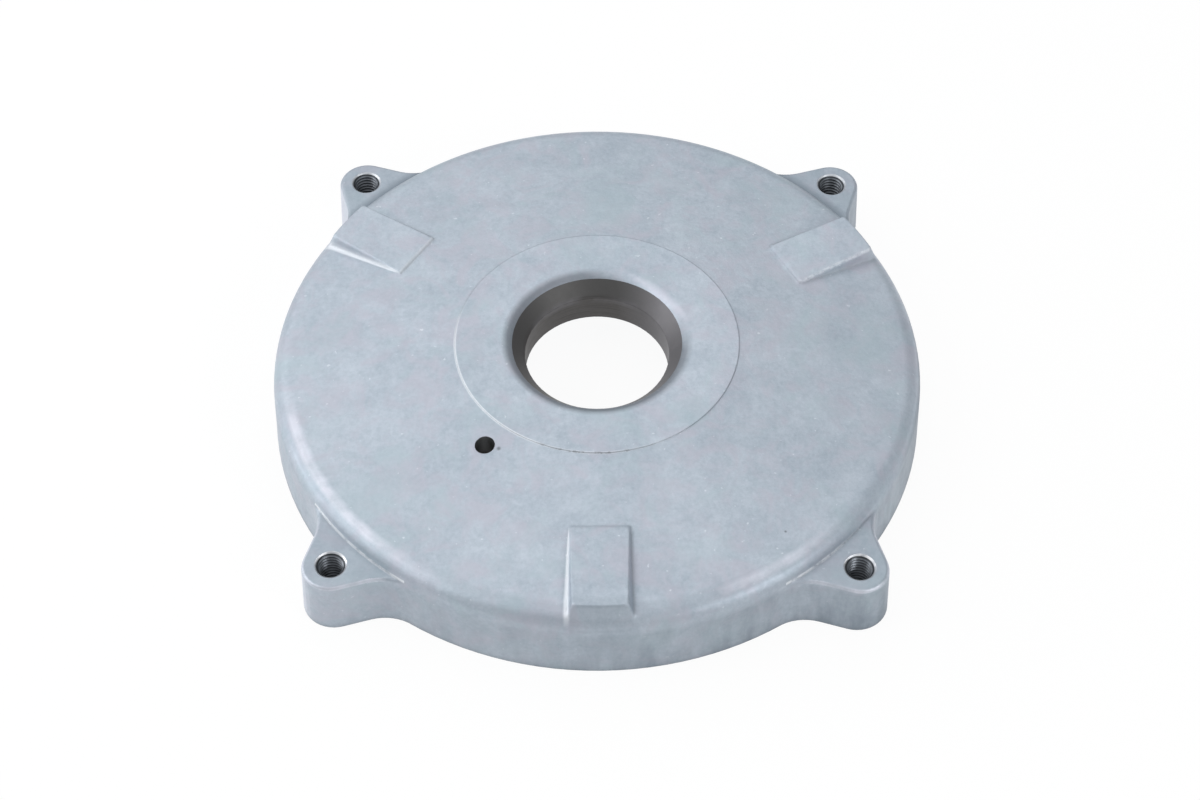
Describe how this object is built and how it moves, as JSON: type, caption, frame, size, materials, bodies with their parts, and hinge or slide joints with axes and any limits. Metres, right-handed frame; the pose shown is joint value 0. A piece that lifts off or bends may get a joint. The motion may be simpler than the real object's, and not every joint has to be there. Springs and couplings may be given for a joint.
{
  "type": "motor cover",
  "caption": "Round aluminium motor cover with tapped mounting ears, raised pads on its sloping face and a central shaft bore.",
  "frame": {"origin": "on the shaft axis, in the plane of the open base", "axes": "+Z out of the sloping face along the shaft axis; the ears lie at 45 degrees to +X and +Y; -Y towards the front pad"},
  "size_m": [0.196, 0.196, 0.0285],
  "materials": {
    "cast_aluminium": "fine as-cast skin, with a machined bore"
  },
  "bodies": {
    "root": {"motor_cover": "cast_aluminium"}
  },
  "joints": []
}
